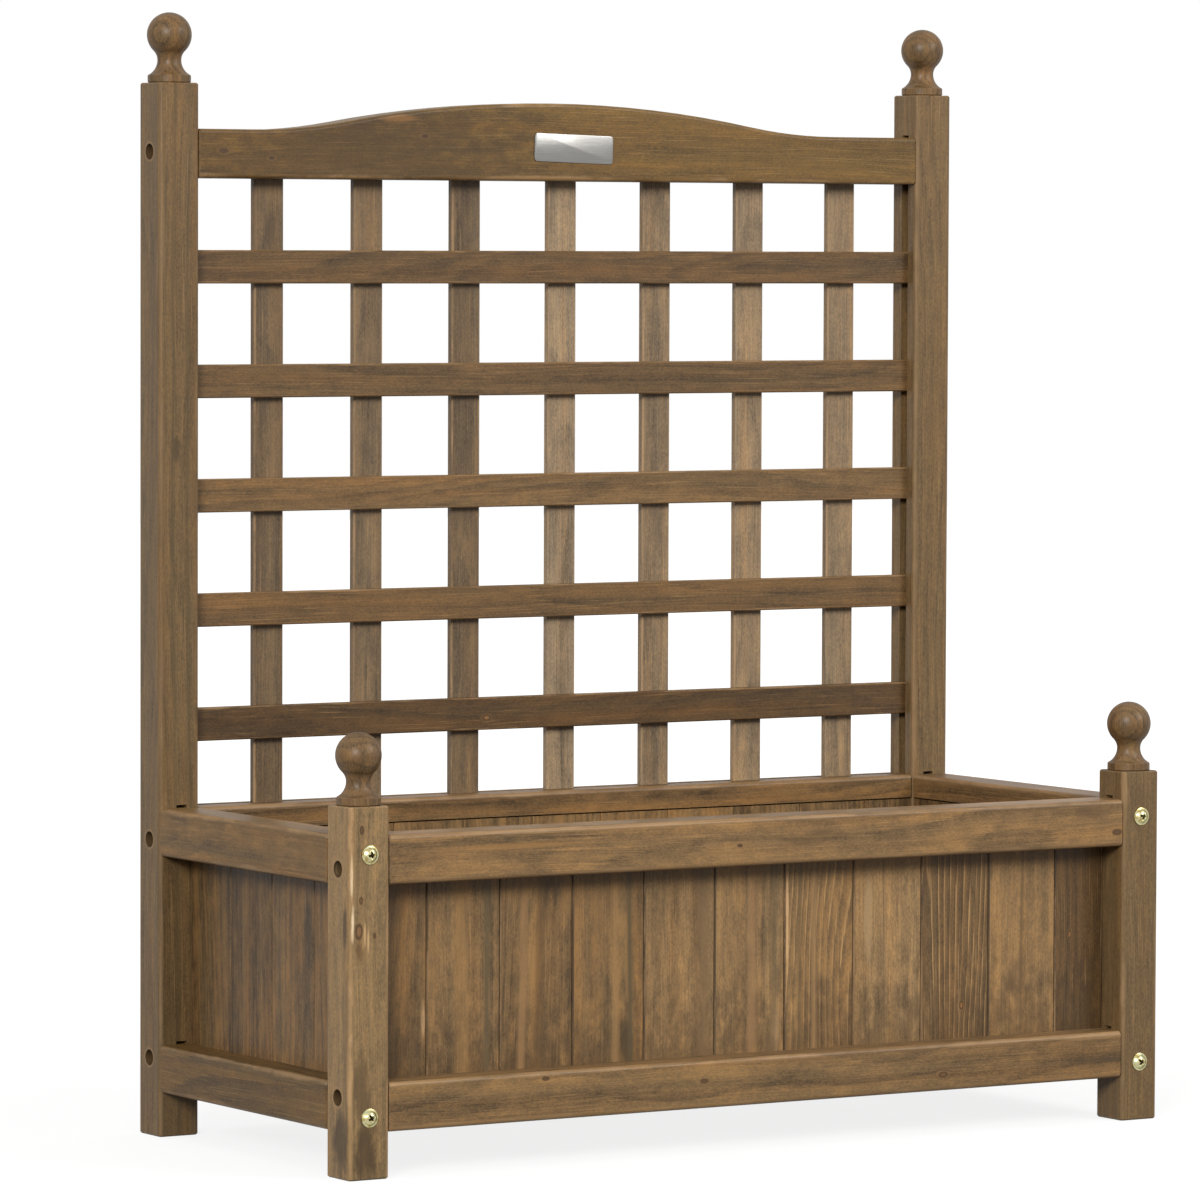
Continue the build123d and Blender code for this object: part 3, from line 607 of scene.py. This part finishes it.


# Yellow zinc plate is pale gold and cloudy. Where it turns away it is painted a darker olive, and its
# recess is painted dark: both are painted shade. Its grain, finer than 0.1 mm, is drawn 0.6 mm wide.
yellow_zinc = new_material("yellow_zinc_plate")
zinc_place = add_node(yellow_zinc, "TexCoord", {}).outputs["Object"]
zinc_cloud = add_node(yellow_zinc, "TexNoise", {"Vector": zinc_place, "Scale": 380.0, "Detail": 2.0})
zinc_grain = add_node(yellow_zinc, "TexNoise", {"Vector": zinc_place, "Scale": 1700.0, "Detail": 2.0})
zinc_tint = add_node(yellow_zinc, "ValToRGB", {0: zinc_cloud})
zinc_tint.color_ramp.elements[0].position = 0.35
zinc_tint.color_ramp.elements[0].color = linear("#A8965A")
zinc_tint.color_ramp.elements.new(0.52).color = linear("#CFC697")
zinc_tint.color_ramp.elements[-1].position = 0.68
zinc_tint.color_ramp.elements[-1].color = linear("#B6BC97")
# The attribute recess_shade darkens the metal: painted shade in the cross recess.
zinc_recess_shade = add_node(yellow_zinc, "Attribute", {}, attribute_name="recess_shade").outputs["Fac"]
zinc_recess_shade = add_node(yellow_zinc, "MapRange", {"Value": zinc_recess_shade, "From Min": 0.15, "From Max": 0.6})
# The rim that turns away from the eye is painted a darker olive: painted shade.
zinc_rim_shade = add_node(yellow_zinc, "LayerWeight", {"Blend": 0.35}).outputs["Facing"]
zinc_rim_shade = add_node(yellow_zinc, "MapRange", {"Value": zinc_rim_shade, "From Min": 0.15, "From Max": 0.70,
                                               "To Max": 0.8})
for mask, tint in ((zinc_rim_shade, "#77713F"), (zinc_recess_shade, "#392C16")):
    zinc_tint = add_node(yellow_zinc, "Mix", {0: mask, 6: zinc_tint, 7: linear(tint)},
                         data_type="RGBA").outputs[2]
zinc_rough = add_node(yellow_zinc, "MapRange", {"Value": zinc_grain, "To Min": 0.16, "To Max": 0.42})
zinc_bump = add_node(yellow_zinc, "Bump", {"Strength": 0.25, "Distance": 0.05 * MM, "Height": zinc_grain})
zinc_surface = add_node(yellow_zinc, "BsdfPrincipled", {
    "Base Color": zinc_tint, "Metallic": 1.0, "Roughness": zinc_rough, "Normal": zinc_bump})
add_node(yellow_zinc, "OutputMaterial", {"Surface": zinc_surface})

# The head is a dome 2.5 mm high and 9.8 across, over a washer face 12.3 across; the shank is 4 mm thick.
dome_across, dome_rise, dome_top = 4.9, 2.5, 3.4
dome_sphere = (dome_across ** 2 + dome_rise ** 2) / (2 * dome_rise)
dome_steps = np.append(np.linspace(0.03, 3.3, 28), np.linspace(3.5, dome_across - 0.25, 6))
dome_profile = [(r, dome_top - dome_sphere + np.sqrt(dome_sphere ** 2 - r ** 2)) for r in dome_steps] + [
    (4.80, 0.98), (4.98, 0.90), (5.20, 0.88), (5.85, 0.80), (6.05, 0.68), (6.13, 0.45), (6.13, 0.15),
    (6.05, 0.0), (2.0, 0.0), (2.0, -50.0), (1.2, -53.2), (0.1, -55.0)]
post_face, dome_heights = post_y + post_half, (40, 209)
dome_seats = [(x, y, z) for y in (-post_face, post_face) for x in (-post_x, post_x) for z in dome_heights]
dome_turns = (0.5, 0.15, 0.9, 1.25, 0.3, 0.7, 1.1, 0.2)
dome_rings, dome_recess = screw_rings(
    dome_seats, [(0, np.sign(y), 0) for x, y, z in dome_seats], dome_turns, dome_profile, around=72,
    recess_arm=2.7, recess_depth=2.0)
domed_screws = ring_mesh("domed_screws", dome_rings, yellow_zinc, shade_amount=dome_recess)
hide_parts("dome_screws")
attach(domed_screws, "root")

# Sunk screws. Pan-headed screws at the bottom of the bores in the posts' end faces, so that only the
# shadowed heads show. They go into the ends of the front and back rails, and of the arched rail.
sunk_profile = [(r, 2.6 - 0.05 * r ** 2) for r in np.linspace(0.03, 3.3, 18)] + [
    (3.7, 1.75), (3.93, 1.35), (4.0, 0.9), (4.0, 0.2), (3.9, 0.0), (2.0, 0.0), (2.0, -45.0), (1.2, -48.2),
    (0.1, -50.0)]
bore_floor = post_x + post_half - bore_depth
bore_places = [(y, z) for y in (-post_y, post_y) for z in rail_bore_heights] + [(post_y, arch_bore_height)]
sunk_seats = [(x, y, z) for x in (-bore_floor, bore_floor) for y, z in bore_places]
sunk_turns = np.arange(len(sunk_seats)) * 0.6
sunk_rings, sunk_recess = screw_rings(
    sunk_seats, [(np.sign(x), 0, 0) for x, y, z in sunk_seats], sunk_turns, sunk_profile, around=48,
    recess_arm=2.0, recess_depth=1.5)
# Each head is darkened all over, at least this much: painted shade at the bottom of its bore.
least_head_shade = 0.4
sunk_heads = ring_mesh("sunk_screw_heads", sunk_rings, yellow_zinc,
                       shade_amount=np.maximum(sunk_recess, least_head_shade))
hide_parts("sunk_screws")
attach(sunk_heads, "root")


# Staples. Galvanised wire driven from behind, with the crown left just proud: one at each crossing of an
# upright and a crossbar, and one at each end of every box board, on its inner face. The sizes are half the
# crown's length, the radius of its corners, the legs' depth, the crown's rise and the wire's radius.
staple_half, staple_bend, staple_leg, staple_rise, staple_wire = 4.6, 0.9, 1.2, 0.15, 0.45


def staple_rings(crowns):
    """Staples as tubes: a circle of the wire's radius carried along a bridge-shaped path whose corners are
    quarter turns. A crown is its middle, the way its wire runs and the way out of the wood."""
    bend = np.linspace(0, np.pi / 2, 4)
    half_x = np.concatenate(([-staple_half], -staple_half + staple_bend * (1 - np.cos(bend[1:]))))
    half_z = np.concatenate(([-staple_leg], staple_rise - staple_bend * (1 - np.sin(bend[1:]))))
    path_x, path_z = np.append(half_x, -half_x[::-1]), np.append(half_z, half_z[::-1])
    way_x, way_z = np.gradient(path_x), np.gradient(path_z)
    size = np.hypot(way_x, way_z)
    turned = np.linspace(0, 2 * np.pi, 8, endpoint=False)
    offset = staple_wire * np.cos(turned)
    shapes = []
    for middle, along, outward in crowns:
        along, outward = np.array(along, float), np.array(outward, float)
        sideways = np.cross(outward, along)
        x = path_x[:, None] - (way_z / size)[:, None] * offset
        z = path_z[:, None] + (way_x / size)[:, None] * offset
        shapes.append(np.array(middle, float) + x[..., None] * along + z[..., None] * outward
                      + (staple_wire * np.sin(turned))[:, None] * sideways)
    return np.array(shapes)


# Galvanised wire is pale grey with a dull, cloudy shine, in spots about 1.7 mm wide.
galvanised = new_material("galvanised_wire")
wire_place = add_node(galvanised, "TexCoord", {}).outputs["Object"]
wire_cloud = add_node(galvanised, "TexNoise", {"Vector": wire_place, "Scale": 600.0, "Detail": 2.0})
wire_tint = add_node(galvanised, "Mix", {0: wire_cloud, 6: linear("#8F8F8C"), 7: linear("#C4C4C0")},
                     data_type="RGBA").outputs[2]
wire_rough = add_node(galvanised, "MapRange", {"Value": wire_cloud, "To Min": 0.3, "To Max": 0.6})
wire_surface = add_node(galvanised, "BsdfPrincipled", {
    "Base Color": wire_tint, "Metallic": 1.0, "Roughness": wire_rough})
add_node(galvanised, "OutputMaterial", {"Surface": wire_surface})

middle_upright, upright_pitch, uprights_back = 4.75, 77.5, 135
lowest_crossbar, crossbar_pitch = 275.75, 76.875
chance = np.random.default_rng(7)
crowns = []
for x in [middle_upright + upright_pitch * step for step in range(-3, 4)]:
    for z in [lowest_crossbar + crossbar_pitch * step for step in range(5)]:
        lean = chance.normal(0, 0.12)
        crowns.append(((x + chance.normal(0, 1.5), uprights_back, z + chance.normal(0, 2)),
                       (np.cos(lean), 0, np.sin(lean)), (0, 1, 0)))
trellis_staples = ring_mesh("trellis_staples", staple_rings(crowns), galvanised)
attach(trellis_staples, "root")

crowns = []
front_board_middles = [board_cover * step for step in range(-4, 5)] + [-266, 266]
side_board_middles, board_staple_heights = (-84, -28, 28, 84), (55, 196)
front_boards_inside, side_boards_inside = 113.5, 291
for side in (-1, 1):
    for x in front_board_middles:
        for z in board_staple_heights:
            crowns.append(((x + chance.normal(0, 3), side * front_boards_inside, z + chance.normal(0, 1)),
                           (1, 0, 0), (0, -side, 0)))
    for y in side_board_middles:
        for z in board_staple_heights:
            crowns.append(((side * side_boards_inside, y + chance.normal(0, 3), z + chance.normal(0, 1)),
                           (0, 1, 0), (-side, 0, 0)))
board_staples = ring_mesh("board_staples", staple_rings(crowns), galvanised)
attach(board_staples, "root")


# Metal plate. A small plain plate of brushed stainless steel with rounded corners, stuck to the arched rail
# a little out of level.
def plate_rings(middle, width, height, corner, thickness, lean):
    """A plate as rings round its edge: a rectangle whose corners are quarter circles, drawn in by the inset
    of each ring, and then turned by the lean. The rings go from the back face to the front one."""
    quarter = np.linspace(0, np.pi / 2, 7)
    rings = []
    for inset, level in ((0.3, 0.0), (0.0, 0.15), (0.0, thickness - 0.25), (0.1, thickness - 0.07),
                         (0.3, thickness)):
        x, z = [], []
        for start, sign_x, sign_z in ((0, 1, 1), (1, -1, 1), (2, -1, -1), (3, 1, -1)):
            angle = quarter + start * np.pi / 2
            x.append(sign_x * (width / 2 - corner) + (corner - inset) * np.cos(angle))
            z.append(sign_z * (height / 2 - corner) + (corner - inset) * np.sin(angle))
        x, z = np.concatenate(x), np.concatenate(z)
        rings.append(np.stack((x * np.cos(lean) - z * np.sin(lean), np.full_like(x, -level),
                               x * np.sin(lean) + z * np.cos(lean)), axis=-1))
    return np.array(rings)[None, :, ::-1] + np.array(middle, float)


# Brushed stainless steel is a soft grey with a long sheen across its brush marks. They run along the plate,
# and the real ones, some 0.05 mm wide, are drawn 0.3 mm wide.
brushed_steel = new_material("brushed_stainless_steel")
steel_place = add_node(brushed_steel, "TexCoord", {}).outputs["Object"]
steel_lines = add_node(brushed_steel, "Mapping", {"Vector": steel_place, "Scale": (35, 35, 3300)})
steel_lines = add_node(brushed_steel, "TexNoise", {"Vector": steel_lines, "Scale": 1.0, "Detail": 3.0})
steel_cloud = add_node(brushed_steel, "TexNoise", {"Vector": steel_place, "Scale": 60.0, "Detail": 2.0})
steel_tint = add_node(brushed_steel, "Mix", {0: steel_lines, 6: linear("#6C6A67"), 7: linear("#9C9A96")},
                      data_type="RGBA").outputs[2]
steel_rough = add_node(brushed_steel, "MapRange", {"Value": steel_cloud, "To Min": 0.22, "To Max": 0.45})
steel_bump = add_node(brushed_steel, "Bump", {"Strength": 0.3, "Distance": 0.03 * MM,
                                              "Height": steel_lines})
steel_surface = add_node(brushed_steel, "BsdfPrincipled", {
    "Base Color": steel_tint, "Metallic": 1.0, "Roughness": steel_rough, "Normal": steel_bump,
    "Anisotropic": 0.6})
add_node(brushed_steel, "OutputMaterial", {"Surface": steel_surface})
arched_rail_front = 112.5
metal_plate = ring_mesh("metal_plate", plate_rings(
    (3.3, arched_rail_front, 665), width=63.5, height=19.5, corner=2.5, thickness=0.8, lean=np.radians(-1.7)),
    brushed_steel)
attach(metal_plate, "root")
